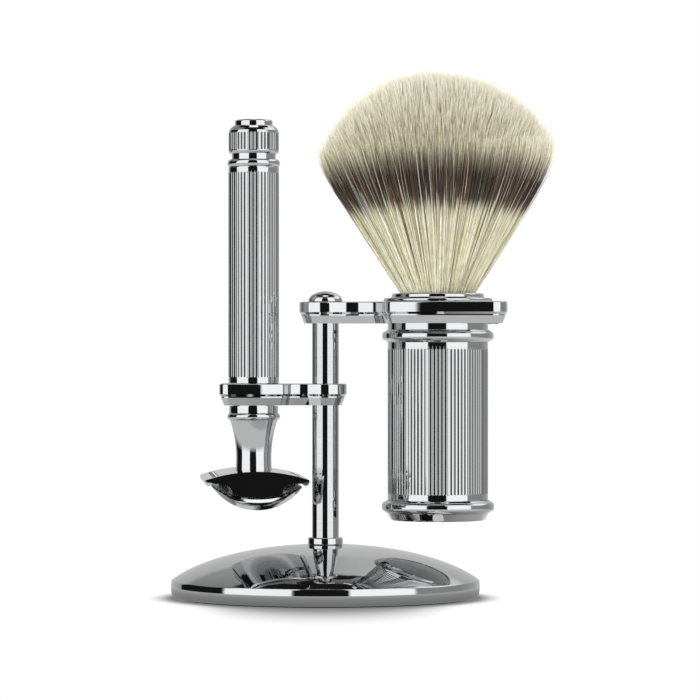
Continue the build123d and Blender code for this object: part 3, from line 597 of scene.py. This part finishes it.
def build_world():
    """White sweep behind, and what a polished surface sees: a dark card in front, soft boxes and flags.

    Angles run round the object from -180 to 180 degrees, with 0 towards the camera and 90 on the +X side.
    """
    world = bpy.data.worlds.new("studio")
    scene.world = world
    world.use_nodes = True
    graph = Graph(world.node_tree)
    background = world.node_tree.nodes["Background"]
    direction = graph.add("ShaderNodeTexCoord").outputs["Generated"]
    parts = graph.add("ShaderNodeSeparateXYZ", {0: direction}).outputs
    around = graph.math("ARCTAN2", parts["X"], graph.math("MULTIPLY", parts["Y"], -1.0))
    share = graph.math("MULTIPLY_ADD", around, 1 / (2 * math.pi), 0.5)
    height = parts["Z"]

    def stop(degrees, level):
        return (degrees / 360.0 + 0.5, level)

    belt = graph.ramp(
        share,
        [
            stop(-180, 0.62), stop(-137, 0.48), stop(-134, DARK), stop(-82, DARK),
            stop(-79, LEFT_BOX), stop(-25.5, LEFT_BOX), stop(-23.5, DARK), stop(17, DARK),
            stop(19, RIGHT_BOX), stop(69, RIGHT_BOX), stop(72, 0.36),
            stop(120, 0.34), stop(160, 0.55), stop(180, 0.62),
        ],
    )
    ceiling = graph.ramp(
        share,
        [
            stop(-180, 0.52), stop(-165, 0.40), stop(-140, 0.29), stop(-60, 0.31), stop(0, 0.42),
            stop(60, 1.0), stop(120, 1.45), stop(150, 0.90), stop(180, 0.52),
        ],
    )
    # the soft boxes and the card stand taller in front than behind
    front = graph.math("MULTIPLY_ADD", parts["Y"], -2.0, 0.3, clamp=True)
    above = graph.math("SUBTRACT", height, graph.math("MULTIPLY", front, 0.4))
    rise = graph.over_height(above, [(0.0, 0.0), (0.70, 0.0), (0.74, 1.0), (1.0, 1.0)])
    seen = graph.mix(rise, belt, ceiling)
    sunk = graph.over_height(height, [(0.0, 1.0), (0.40, 1.0), (0.44, 0.0), (1.0, 0.0)])
    seen = graph.mix(sunk, seen, (BELOW, BELOW, BELOW))
    # overhead a black drape that hangs lower behind, with a lamp in the middle of it
    above = graph.math("SUBTRACT", height, graph.math("MULTIPLY", front, 0.12))
    draped = graph.over_height(above, [(0.0, 0.0), (0.882, 0.0), (0.894, 1.0), (1.0, 1.0)])
    overhead = graph.over_height(height, [(0.0, DRAPE), (0.988, DRAPE), (0.992, LAMP), (1.0, LAMP)])
    seen = graph.mix(draped, seen, overhead)
    path = graph.add("ShaderNodeLightPath").outputs
    lit = graph.mix(path["Is Diffuse Ray"], seen, FILL)
    shown = graph.mix(path["Is Camera Ray"], lit, (1.0, 1.0, 1.0))
    world.node_tree.links.new(shown, background.inputs["Color"])
    background.inputs["Strength"].default_value = 1.0


def build_floor():
    """A pale glowing floor with a painted soft shadow close to the base, more so in front of it."""
    around = 96
    angle = np.arange(around) * 2 * math.pi / around
    points = np.concatenate([ring_points(r, angle, 0.0) for r in FLOOR_RINGS])
    faces = shell_of_rows(len(FLOOR_RINGS), around)
    mesh = bpy.data.meshes.new("floor")
    mesh.from_pydata(points.tolist(), [], faces[:, ::-1].tolist())
    material = bpy.data.materials.new("pale_floor")
    material.use_nodes = True
    tree = material.node_tree
    graph = Graph(tree)
    tree.nodes.remove(tree.nodes["Principled BSDF"])
    place = graph.add("ShaderNodeTexCoord").outputs["Object"]
    # painted shadow: the floor's glow darkens close to the base, reaching further in front
    away = graph.add("ShaderNodeVectorMath", {0: place}, operation="LENGTH").outputs["Value"]
    parts = graph.add("ShaderNodeSeparateXYZ", {0: place}).outputs
    forward = graph.math("MULTIPLY", parts["Y"], -1.0)
    facing = graph.math("POWER", graph.math("MAXIMUM", graph.math("DIVIDE", forward, away), 0.0), 9.0)
    reach = graph.math("MULTIPLY_ADD", facing, SHADOW_IN_FRONT, SHADOW_REACH)
    share = graph.math("DIVIDE", graph.math("SUBTRACT", away, SHADOW_FROM), reach)
    shade = graph.ramp(
        share, [(0.0, 0.22), (0.2, 0.37), (0.43, 0.61), (0.67, 0.82), (0.9, 0.96), (1.0, 1.0)]
    )
    # painted reflection: polished surfaces see the floor as a grey that is darkest near the base
    share = graph.math("DIVIDE", away, FLOOR_RADIUS / 2)
    painted_floor_reflection = graph.ramp(share, [(0.0, 0.20), (0.46, 0.27), (0.7, 0.48), (1.0, 0.62)])
    path = graph.add("ShaderNodeLightPath").outputs
    glow = graph.mix(path["Is Glossy Ray"], shade, painted_floor_reflection)
    lit = graph.add("ShaderNodeEmission", {"Color": glow, "Strength": 1.0}).outputs[0]
    # beyond the card's foot a polished surface sees the studio, not the floor
    share = graph.math("DIVIDE", away, FLOOR_RADIUS)
    outside = graph.ramp(share, [(0.0, 0.0), (0.46, 0.0), (0.50, 1.0), (1.0, 1.0)])
    clear = graph.add("ShaderNodeBsdfTransparent").outputs[0]
    hidden = graph.math("MULTIPLY", path["Is Glossy Ray"], outside)
    shown = graph.add("ShaderNodeMixShader", {0: hidden, 1: lit, 2: clear})
    tree.links.new(shown.outputs[0], tree.nodes["Material Output"].inputs["Surface"])
    mesh.materials.append(material)
    floor = bpy.data.objects.new("floor", mesh)
    scene.collection.objects.link(floor)


def build_lights():
    """Soft lamps that shape the hair; the chrome sees the studio instead."""
    for name, values in LAMPS.items():
        light = bpy.data.lights.new(name, "AREA")
        light.size = values["size"]
        light.energy = values["power"]
        lamp = bpy.data.objects.new(name, light)
        lamp.location = values["place"]
        aim = Vector(LAMP_AIM) - Vector(values["place"])
        lamp.rotation_euler = aim.to_track_quat("-Z", "Y").to_euler()
        lamp.visible_glossy = False
        scene.collection.objects.link(lamp)


def build_camera():
    """Level long lens, seen from the front."""
    camera = bpy.data.cameras.new("camera")
    camera.lens = CAMERA_LENS
    camera.sensor_width = 36.0
    camera.clip_start = 0.05
    camera.clip_end = 20.0
    holder = bpy.data.objects.new("camera", camera)
    holder.location = CAMERA_PLACE
    holder.rotation_euler = (math.radians(90), 0.0, 0.0)
    scene.collection.objects.link(holder)
    scene.camera = holder


build_world()
build_floor()
build_lights()
build_camera()
scene.view_settings.view_transform = "Standard"
